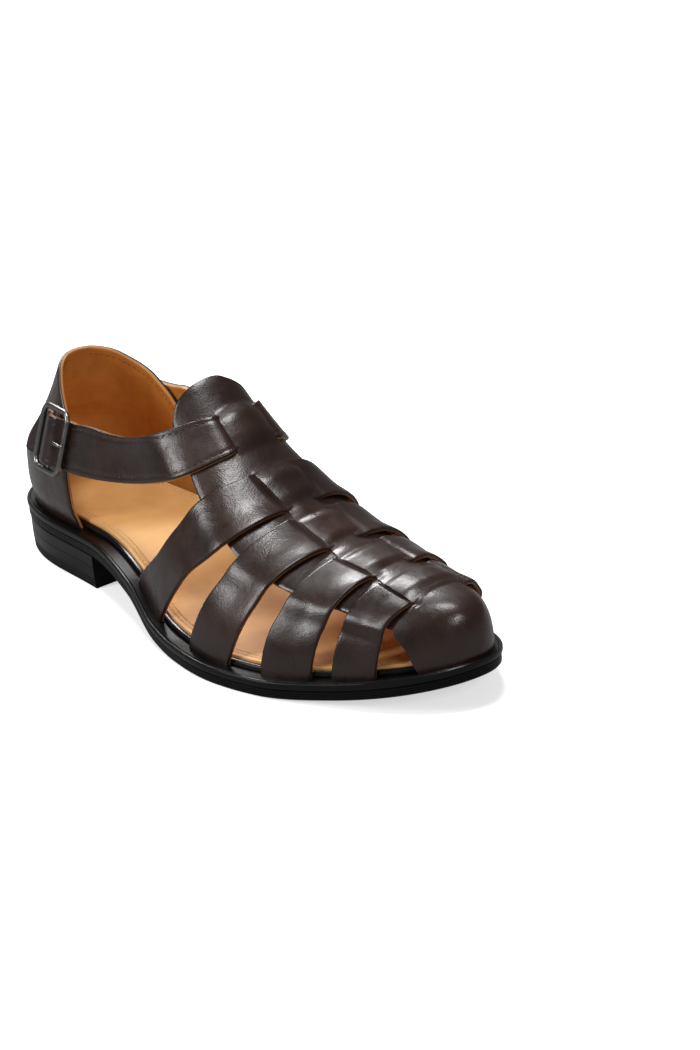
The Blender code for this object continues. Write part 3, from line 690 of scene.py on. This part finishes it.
turns, places, lifts, rows_filled = [], [], [], []
inside = (zone_of[:-1] > 0) & (zone_of[1:] > 0)
for at in steps:
    value = weave_row(at)
    across, along = row_shape(value, columns)
    swell = swelling(np.full(len(columns), at), np.full(len(columns), value["slit_out"]))
    pillow = 1.08 - 0.42 * share_of**2.2
    lift = LEATHER + np.where(zone_of == 2, SWELL * swell * pillow, 0.0)
    turns.append(last_turn(along))
    places.append(across)
    lifts.append(lift)
    rows_filled.append(inside)
value = weave_row(CAP)
across, along = row_shape(value, columns)
start = last_turn(along)
toe_shares = [[0, 0.004, 0.012, 0.03], np.linspace(0.06, 0.9, 30), np.linspace(0.92, 1.0, 9)]
for share in np.concatenate(toe_shares):
    turns.append(start + (1 - start) * share)
    places.append(across)
    lifts.append(np.full(len(columns), LEATHER))
    rows_filled.append(np.ones(len(inside), bool))
turns, places, lifts = np.array(turns), np.array(places), np.array(lifts)
# The cut rim is eased by a burnisher, and a small pucker forms at each slit's toe end
EASED = 0.35
PUCKER = 0.8
row_of = np.arange(len(turns))[:, None]
margin = np.minimum(row_of, 3) / 3 * np.ones(len(columns))
at_wing = (zone_of == 1)[None] & (row_of < len(steps))
margin = np.minimum(margin, np.where(at_wing, (1 - share_of[None]) / 0.05, 1))
lifts = lifts - EASED * (1 - np.clip(margin, 0, 1)) ** 2
for front in range(FIRST_BACK + 1, CAP, 2):
    for side, cut, slit in ((-1, "cut_out", "slit_out"), (1, "cut_in", "slit_in")):
        away_u = (places - side * WEAVE[cut][front]) * 62.0
        away_t = (turns - last_turn(WEAVE[slit][front] + 0.004)) * 400.0
        lifts = lifts - PUCKER * np.exp(-(away_u**2 + away_t**2) / 7.0)


def seated(points, rims):
    """Brings the lower rim of a piece down to the welt."""
    points[..., 2] = np.maximum(points[..., 2], seat(points[..., 1], 0.05))
    for rim in rims:
        points[(*rim, 2)] = seat(points[(*rim, 1)], 0.02)
    return points


rims = ((slice(None), 0), (slice(None), -1), (-1, slice(None)))
outer = seated(last(turns, places, lifts), rims)
inner = seated(last(turns, places, np.full(turns.shape, 0.1)), rims)
# Each slit's cut edge stands over the strap that dives beneath it
step_columns = zone_of[:-1] + zone_of[1:] == 3
cuts = step_columns[None] & (abs(np.diff(lifts, axis=1)) > 0.3)[:-1]
points, faces, marks = wall(outer, inner, rows_filled, pole=True, cuts=cuts)
mesh_piece("vamp", points, faces, LEATHERS, ["upper"], marks, smooth_angle=38)

# Cross straps
# Four bands of the same calf. Each comes up from the welt, lies over the vamp's wing and dives
# through the slit. The toe-side edge stands a little proud, and the heel-side edge lies flat.

BAND = 1.9
PROUD = 1.25
DIVE = {-1: 1.5, 1: 0.8}
down = np.concatenate([np.linspace(1, 0.94, 3), np.linspace(0.9, 0.0, 22)])
band_columns = [(0, s) for s in down] + [(1, s) for s in np.linspace(1, 0.2, 14)[1:]]
band_columns += [(1, s) for s in (0.15, 0.12, 0.09, 0.065, 0.04, 0.02, 0.0, -0.06, -0.12)]
near_edge = np.array([0, 0.006, 0.015, 0.03, 0.06, 0.12])
width_shares = np.concatenate([near_edge, [0.2, 0.3, 0.4, 0.5, 0.6, 0.7, 0.8], 1 - near_edge[::-1]])
for number, back in enumerate(range(FIRST_BACK, CAP, 2), 1):
    for side, word in ((-1, "outer"), (1, "inner")):
        own = [(side, zone, share) for zone, share in band_columns]
        zones, shares = np.array(band_columns).T
        first = row_shape(weave_row(back), own)
        final = row_shape(weave_row(back + 1), own)
        w = width_shares[:, None]
        across = first[0] * (1 - w) + final[0] * w
        along = first[1] * (1 - w) + final[1] * w
        run = np.where(zones == 0, 1 + shares, shares)
        base = LEATHER * (1 - ease((run - 1.04) / 0.26)) - DIVE[side] * (1 - ease(run / 0.13))
        kept = ease(run / 0.45) * (1 - 0.8 * ease((run - 1.2) / 0.75))
        proud = PROUD * ease((w - 0.45) / 0.55) * kept[None]
        level = np.broadcast_to(base[None], across.shape) + proud
        rim = np.clip(np.minimum(w, 1 - w) / 0.03, 0, 1)
        top = level + BAND - 0.5 * (1 - np.sqrt(np.clip(1 - (1 - rim) ** 2, 0, 1)))
        own_rims = ((slice(None), 0),)
        outer = seated(last(last_turn(along), across, top), own_rims)
        inner = seated(last(last_turn(along), across, level + 0.05), own_rims)
        if side > 0:
            outer, inner = outer[:, ::-1], inner[:, ::-1]
        points, faces, marks = wall(outer, inner)
        name = f"strap_{number}_{word}"
        mesh_piece(name, points, faces, LEATHERS, (), marks, smooth_angle=50)

# Heel counter
# A tall back of brown calf on a tan calf lining, moulded round the heel and cut down in a curve
# towards the ankle strap. The cut edge of the two layers is left light.

COUNTER = 2.5
BACK_HEIGHT = 65.5
LEAN_FROM = 0.17
QUARTER = table(
    "height wide lean",
    (0.00, 1.00, 0.0),
    (0.18, 1.12, 0.0),
    (0.38, 1.14, -1.0),
    (0.61, 1.015, -11.5),
    (0.84, 0.867, -20.5),
    (1.07, 0.646, -25.5),
)
TOP_LINE = table(
    "along height",
    (0.0226, 1.040),
    (0.0556, 1.000),
    (0.0903, 0.934),
    (0.1250, 0.861),
    (0.1597, 0.777),
    (0.1875, 0.702),
    (0.2083, 0.618),
)
FRONT_EDGE = table(
    "height outer inner",
    (0.00, 0.2243, 0.2780),
    (0.34, 0.2222, 0.2440),
    (0.70, 0.2180, 0.2210),
    (1.00, 0.2083, 0.2083),
)


def heel(y, side, height, out=0.0):
    """Point on the last round the heel, moved outwards by out: y on the rim, side -1 outer or 1
    inner, height over the sole."""
    y, side, height = np.broadcast_arrays(np.asarray(y, float), side, np.asarray(height, float))

    def at(y, h):
        half = np.where(side < 0, AXIS - rim_x(y, -1), rim_x(y, 1) - AXIS)
        share = h / BACK_HEIGHT
        x = AXIS + side * half * smooth(share, QUARTER["height"], QUARTER["wide"])
        fade = np.clip((y - LEAN_FROM * LENGTH) / (BACK - LEAN_FROM * LENGTH), 0, 1)
        lean = smooth(share, QUARTER["height"], QUARTER["lean"]) * fade
        return np.stack([x, y + lean, under(y) + SOLE_TOP + GAP + h], -1)

    normal = surface_normal(at, np.minimum(y, BACK - 0.25), height, (0.2, 0.5))
    normal = normal * np.where(side < 0, -1.0, 1.0)[..., None]
    normal[y > BACK - 0.01] = (0, 1, 0)
    return at(y, height) + np.asarray(out, float)[..., None] * normal


run = np.sin(np.linspace(0, 1, 56) * np.pi / 2)
run = np.concatenate([[0, 0.004, 0.012], run[2:]])
run = np.concatenate([run, run[:-1][::-1]])[None]
side = np.where(np.arange(run.shape[1]) < (run.shape[1] + 1) // 2, -1.0, 1.0)[None]
rise = np.concatenate([np.linspace(0, 0.97, 38), [0.98, 0.99, 0.996, 1.0]])[:, None]
cut = {word: smooth(rise, FRONT_EDGE["height"], FRONT_EDGE[word]) for word in ("outer", "inner")}
front = LENGTH * (0.5 - np.where(side < 0, cut["outer"], cut["inner"]))
corner = LENGTH * (0.5 - TOP_LINE["along"][-1])
along = 0.5 - (corner + (BACK - corner) * run) / LENGTH
top = BACK_HEIGHT * smooth(along, TOP_LINE["along"], TOP_LINE["height"])
place = front + (BACK - front) * run
rim = np.minimum(np.clip((1 - rise) / 0.012, 0, 1), np.clip(run / 0.012, 0, 1))
outer = heel(place, side, rise * top, COUNTER - 0.5 * (1 - rim) ** 2)
inner = heel(place, side, rise * top, 0.1 + 0.4 * (1 - rim) ** 2)
# The moulded back is round, with no ridge where the two sides meet
spine_column = run.shape[1] // 2
for _ in range(60):
    for skin in (outer, inner):
        near = skin[:, spine_column - 9 : spine_column + 10]
        before = skin[:, spine_column - 10 : spine_column + 9]
        after = skin[:, spine_column - 8 : spine_column + 11]
        near += 0.5 * ((before + after) / 2 - near)
outer[0, :, 2], inner[0, :, 2] = seat(outer[0, :, 1], 0.02), seat(inner[0, :, 1], 0.02)
points, faces, marks = wall(outer, inner)
dark_edge = calf("dark_edge_paint", "#140D0B", "#251814", 0.5, 0.2)
QUARTERS = [f.material for f in (brown_calf, dark_edge, flesh_lining, light_edge)]
own = ["heel_counter"]
mesh_piece("counter", points, faces, QUARTERS, own, marks, smooth_angle=50)
# The line inside on which the lining is stitched down
STITCH_DROP = 3.2
drop_line = heel(place[-1], side[0], top[0] - STITCH_DROP, 0.05)
drop_facing = drop_line - heel(place[-1], side[0], top[0] - STITCH_DROP, 1.05)

# Ankle strap
# Brown calf on a tan lining, stitched along both edges. It passes under the vamp's top, hangs free
# past the ankle, is sewn to the counter inside and buckled outside, and its pointed end stands off.

STRAP = 3.0
START = table(
    "top_along top_across low_along low_across out",
    (0.504, 0.130, 0.544, 0.105, -1.2),
    (0.500, 0.190, 0.5475, 0.165, 1.2),
    (0.488, 0.280, 0.541, 0.260, 1.4),
    (0.474, 0.365, 0.531, 0.350, 1.5),
    (0.456, 0.450, 0.519, 0.430, 2.2),
    (0.440, 0.505, 0.505, 0.500, 2.8),
)
SAG = 2.3
FREE = (0.17, 0.34, 0.51, 0.68, 0.84)
ON_COUNTER = table("along top low out", (0.285, 0.780, 0.460, 2.7), (0.250, 0.766, 0.443, 3.0))
INNER_END = table(
    "along top low out",
    (0.215, 0.765, 0.435, 3.1),
    (0.190, 0.750, 0.425, 3.1),
    (0.160, 0.740, 0.418, 3.1),
    (0.135, 0.735, 0.415, 3.1),
    (0.115, 0.725, 0.420, 3.1),
    (0.095, 0.690, 0.450, 3.1),
)
THROUGH = table(
    "along out half shift",
    (-13.5, 3.0, 10.7, 0.0),
    (-10.2, 2.9, 10.7, 0.0),
    (-6.5, 4.3, 10.7, 0.0),
    (-3.0, 6.9, 10.7, 0.0),
    (0.0, 7.5, 10.7, 0.0),
    (3.0, 6.9, 10.7, 0.0),
    (6.5, 4.3, 10.7, 0.0),
    (10.2, 2.9, 10.7, -0.2),
    (13.5, 3.0, 10.4, -0.5),
    (16.0, 3.0, 8.9, -2.0),
    (18.5, 3.1, 6.2, -4.6),
    (20.8, 3.2, 3.0, -7.3),
    (22.0, 3.2, 0.8, -8.8),
)
BUCKLE_ALONG = 0.1768
BUCKLE_HEIGHT = 0.595
TILT = np.radians(1.3)
THIN = STRAP - 0.6


def unit(vector):
    return vector / np.linalg.norm(vector, axis=-1, keepdims=True)


buckle_y = LENGTH * (0.5 - BUCKLE_ALONG)
buckle_h = BUCKLE_HEIGHT * BACK_HEIGHT
middle = heel(buckle_y, -1, buckle_h)
to_heel = unit(heel(buckle_y + 8, -1, buckle_h) - heel(buckle_y - 8, -1, buckle_h))
away = unit(heel(buckle_y, -1, buckle_h, 1.0) - middle)
away = unit(away - (away @ to_heel) * to_heel)
up = np.cross(away, to_heel)
up *= np.sign(up[2])
to_heel, up = np.cos(TILT) * to_heel + np.sin(TILT) * up, np.cos(TILT) * up - np.sin(TILT) * to_heel


def on_buckle(along, high, out):
    """Point of the buckle's plane: along towards the heel, high upwards, and out from the
    counter's inside."""
    along, high, out = np.broadcast_arrays(along, high, out)
    return middle + along[..., None] * to_heel + high[..., None] * up + out[..., None] * away


def strap_line(side, high, deep):
    """The strap from under the vamp to its end, at this share of its width and this depth from
    its inner face."""
    along = (1 - high) * START["low_along"] + high * START["top_along"]
    across = (1 - high) * START["low_across"] + high * START["top_across"]
    begin = last(last_turn(along), side * across, START["out"] + deep)

    def on_heel(rows):
        height = (1 - high) * rows["low"] + high * rows["top"]
        return heel(LENGTH * (0.5 - rows["along"]), side, height * BACK_HEIGHT, rows["out"] + deep)

    end = on_heel(ON_COUNTER)
    share = np.array(FREE)[:, None]
    span = begin[-1] + (end[0] - begin[-1]) * share
    span[:, 2] -= 4 * SAG * (share * (1 - share))[:, 0]
    if side < 0:
        wide = (2 * high - 1) * THROUGH["half"] + THROUGH["shift"]
        shape = on_buckle(THROUGH["along"], wide, THROUGH["out"] + deep * THIN / STRAP)
    else:
        shape = on_heel(INNER_END)
    return np.concatenate([begin, span, end, shape])


def flowing(stations, count):
    """A smooth run through stations, evenly spaced; returns it with its arc length."""
    steps = np.linalg.norm(np.diff(stations[:, stations.shape[1] // 2], axis=0), axis=-1)
    length = np.concatenate([[0], np.cumsum(steps)])
    slope = np.gradient(stations, length, axis=0)
    at = np.linspace(0, length[-1], count)
    i = np.clip(np.searchsorted(length, at, side="right") - 1, 0, len(length) - 2)
    gap = (length[i + 1] - length[i])[:, None, None]
    t = ((at - length[i])[:, None, None]) / gap
    a, b = stations[i], stations[i + 1]
    flow = a * (1 + 2 * t) * (1 - t) ** 2 + slope[i] * gap * t * (1 - t) ** 2
    return flow + b * t**2 * (3 - 2 * t) + slope[i + 1] * gap * t**2 * (t - 1), at


# Spacing, length and thickness of one stitch
STRAP_STITCH = (3.0, 2.3, 0.55)
LINING_STITCH = (2.6, 1.9, 0.42)
THREAD_RING, THREAD_STEPS = 6, 5
thread_parts = {}


def stitch_run(kind, path, normal, pitch, long, thick):
    """Adds stitches along a path: short plump threads, each dipping into the leather at both
    ends."""
    step = np.linalg.norm(np.diff(path, axis=0), axis=1)
    length = np.concatenate([[0], np.cumsum(step)])
    middles = np.arange(pitch, length[-1] - pitch / 2, pitch)
    for centre in middles:
        ends = np.linspace(centre - long / 2, centre + long / 2, THREAD_STEPS)
        line = np.stack([np.interp(ends, length, path[:, k]) for k in range(3)], 1)
        facing = unit(np.array([np.interp(centre, length, normal[:, k]) for k in range(3)]))
        line = line + facing * (np.array([-0.25, 0.1, 0.2, 0.1, -0.25]) * thick)[:, None]
        way = unit(line[-1] - line[0])
        sideways = np.cross(way, facing)
        turn = np.arange(THREAD_RING) * np.pi / 3
        radius = thick * np.array([0.3, 0.5, 0.52, 0.5, 0.3])[:, None, None]
        ring = np.cos(turn)[None, :, None] * sideways + np.sin(turn)[None, :, None] * facing
        thread_parts.setdefault(kind, []).append(line[:, None] + radius * ring)


def sew(name, kind, finish):
    """One mesh of all the stitches gathered under this kind."""
    points, faces = [], []
    for part in thread_parts[kind]:
        more, own = loft(part[:, ::-1])
        first = len(points) * THREAD_RING * THREAD_STEPS
        faces += [tuple(c + first for c in face) for face in own]
        points.append(more)
    mesh_piece(name, np.concatenate(points), faces, [finish.material], smooth_angle=60)


STITCHED_AT = (0.11, 0.89)
# How far along the strap its stitches go, and how much of its length lies on the counter
STITCHED_TO = {-1: 118, 1: 150}
LAID_DOWN = {-1: 41.0, 1: 34.0}
RUN_STEPS = 150
near_edge = np.array([0, 0.006, 0.015, 0.03, 0.055, 0.08, 0.11, 0.14])
shares = np.concatenate([near_edge, [0.2, 0.3, 0.4, 0.5, 0.6, 0.7, 0.8], 1 - near_edge[::-1]])
stitch_run("lining", drop_line[2:-2], drop_facing[2:-2], *LINING_STITCH)
for side, word in ((-1, "outer"), (1, "inner")):
    deep_in = np.stack([strap_line(side, high, 0.0) for high in shares], 1)
    deep_out = np.stack([strap_line(side, high, STRAP) for high in shares], 1)
    low_skin, _ = flowing(deep_in, RUN_STEPS)
    top_skin, length = flowing(deep_out, RUN_STEPS)
    # The free run settles into one easy curve
    at_counter = length[-1] - LAID_DOWN[side]
    loose = ease((length - 9.0) / 8.0) * ease((at_counter - length) / 8.0)
    for _ in range(90):
        for skin in (low_skin, top_skin):
            calm = (skin[:-2] + skin[2:]) / 2
            skin[1:-1] += 0.5 * loose[1:-1, None, None] * (calm - skin[1:-1])
    rim = np.clip(np.minimum(shares, 1 - shares) / 0.03, 0, 1)
    # The stitched channel draws the edge down a little, so the strap's middle is softly padded
    pad = 0.16 * np.exp(-(((np.minimum(shares, 1 - shares) - 0.11) / 0.02) ** 2))
    sink = (0.45 * (1 - np.sqrt(np.clip(1 - (1 - rim) ** 2, 0, 1))) + pad) / STRAP
    outer = top_skin + (low_skin - top_skin) * sink[None, :, None]
    inner = low_skin + (top_skin - low_skin) * (0.3 * (1 - rim) ** 2 / STRAP)[None, :, None]
    for place in STITCHED_AT:
        column = int(np.argmin(abs(shares - place)))
        path = outer[:, column]
        facing = unit(top_skin[:, column] - low_skin[:, column])
        sewn = slice(8, STITCHED_TO[side])
        stitch_run("strap", path[sewn], facing[sewn], *STRAP_STITCH)
    if side < 0:
        top_path = outer[:, len(shares) // 2].copy()
        top_across = outer[:, -3] - outer[:, 2]
        outer, inner = outer[:, ::-1], inner[:, ::-1]
    points, faces, marks = wall(outer, inner)
    name = f"ankle_strap_{word}"
    mesh_piece(name, points, faces, QUARTERS, (), marks, smooth_angle=50)

# Two spare holes of the outer strap, punched clean through the real strap. Each is drawn as a flat
# dark disc just over the strap's face, in the edge paint's colour. The disc stands for the hole's
# own dark wall and is painted shade for the depth of the hole.
HOLES_ALONG = (5.6, 15.2)
HOLE = 0.95
own = unit(np.cross(np.gradient(top_path, axis=0), top_across))
own *= np.sign(own @ away)[:, None]
ring_turn = np.linspace(0, 2 * np.pi, 17)[:-1, None]
for target in HOLES_ALONG:
    k = int(np.argmin(abs((top_path - middle) @ to_heel - target)))
    first = unit(np.cross(own[k], up))
    circle = np.cos(ring_turn) * first + np.sin(ring_turn) * unit(np.cross(own[k], first))
    # The disc is no hole: a dark sheet, with painted shade where the hole is deep
    disc = top_path[k] + 0.07 * own[k] + HOLE * circle
    if np.cross(disc[1] - disc[0], disc[2] - disc[1]) @ own[k] < 0:
        disc = disc[::-1]
    name = f"spare_hole_painted_shade_{int(target)}"
    mesh_piece(name, disc, [tuple(range(len(disc)))], [dark_edge.material])

brown_thread = calf("waxed_brown_thread", "#0E0908", "#1B1310", 0.55, 0.1)
sew("strap_stitches", "strap", brown_thread)
lining_thread = calf("waxed_orange_thread", "#8A4E1C", "#A66428", 0.5, 0.1)
sew("lining_stitches", "lining", lining_thread)

# Insole stitches
# Two rows of light waxed thread round the sock, in the channels pressed for them.

SOCK_STITCH = (3.2, 2.5, 0.5)
turn = np.linspace(0.02, 0.98, 900)
for inset in CHANNELS:
    for side in (-1, 1):
        rim = edge(turn, side, INSIDE + inset)
        path = np.column_stack([rim, seat(rim[:, 1], SOCK_BASE + SOCK - 0.08)])
        stitch_run("sock", path, np.tile([0.0, 0.0, 1.0], (len(path), 1)), *SOCK_STITCH)
sock_thread = calf("waxed_tan_thread", "#C79A66", "#DDB683", 0.5, 0.1)
sew("sock_stitches", "sock", sock_thread)

# Buckle
# A cast frame of dark antique nickel with rounded corners, a centre bar held by a hidden leather
# tab, and a wire prong that comes up through a hole and rests on the front bar.

FRAME_LONG = 23.0
FRAME_WIDE = 30.5
WIRE = 2.6
BAR_OUT = COUNTER + STRAP + 1.5
PIN_OUT = COUNTER + 2.7
PIN = 0.9
# Nickel plate, darkened and rubbed back: grey metal with brighter spots about 6 mm apart
nickel = Finish("antique_nickel")
place = nickel.add("ShaderNodeTexCoord").outputs["Object"]
spots = nickel.add("ShaderNodeTexNoise", {"Scale": per(5.5556), "Detail": 4.0}, Vector=place)
tarnish = spots.outputs["Fac"]
tint = nickel.add("ShaderNodeValToRGB", Fac=tarnish)
tint.color_ramp.elements[0].color = linear("#6A6866")
tint.color_ramp.elements[1].color = linear("#9E9C9A")
nickel.join(tint.outputs[0], "Base Color")
shine = nickel.add("ShaderNodeMapRange", {"To Min": 0.22, "To Max": 0.4}, Value=tarnish)
nickel.join(shine.outputs[0], "Roughness")
nickel.shader.inputs["Metallic"].default_value = 1.0


def wire(path, radius, closed=False, squash=1.0, sides=16):
    """Round or flattened wire along a path."""
    path = np.asarray(path, float)
    way = np.roll(path, -1, 0) - np.roll(path, 1, 0) if closed else np.gradient(path, axis=0)
    way = unit(way)
    first = unit(np.cross(way, away if abs(way[0] @ up) > 0.9 or closed else up))
    second = np.cross(first, way)
    turn = (np.arange(sides) * 2 * np.pi / sides)[None, :, None]
    ring = np.cos(turn) * first[:, None] + squash * np.sin(turn) * second[:, None]
    return loft(path[:, None] + np.reshape(radius, (-1, 1, 1)) * ring, closed)


def metal(name, path, radius, nodes=(), **shape):
    """One piece of the buckle."""
    points, faces = wire(path, radius, **shape)
    mesh_piece(name, points, faces, [nickel.material], nodes, smooth_angle=60)


half_long = FRAME_LONG / 2 - WIRE / 2
half_wide = FRAME_WIDE / 2 - WIRE / 2
ROUND = 4.5
frame_path = []
for quarter in range(4):
    sx = np.sign(np.cos(quarter * np.pi / 2 + np.pi / 4))
    sy = np.sign(np.sin(quarter * np.pi / 2 + np.pi / 4))
    for t in np.linspace(0, np.pi / 2, 10) + quarter * np.pi / 2:
        along = sx * (half_long - ROUND) + ROUND * np.cos(t)
        high = sy * (half_wide - ROUND) + ROUND * np.sin(t)
        frame_path.append(on_buckle(along, high, BAR_OUT))
metal("buckle_ring", frame_path, WIRE / 2, ["buckle_frame"], closed=True)
bar_high = np.linspace(-half_wide, half_wide, 6)
bar_out = PIN_OUT + np.array([1.2, 0.3, 0, 0, 0.3, 1.2])
metal("buckle_bar", on_buckle(0.0, bar_high, bar_out), PIN)
prong_along = np.array([-3.4, -4.3, -5.6, -7.4, -9.0, -10.4, -11.6, -12.3])
prong_out = np.array([5.2, 7.6, 9.3, 9.9, 9.85, 9.65, 9.25, 8.9])
prong_path = on_buckle(prong_along, 0.0, prong_out)
prong_thick = PIN * np.array([1, 1, 1, 1, 1, 1, 0.85, 0.55])
metal("prong", prong_path, prong_thick, ["buckle_prong"], squash=0.85)
tab_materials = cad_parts["buckle_tab"].data.materials
tab_materials.clear()
tab_materials.append(brown_calf.material)
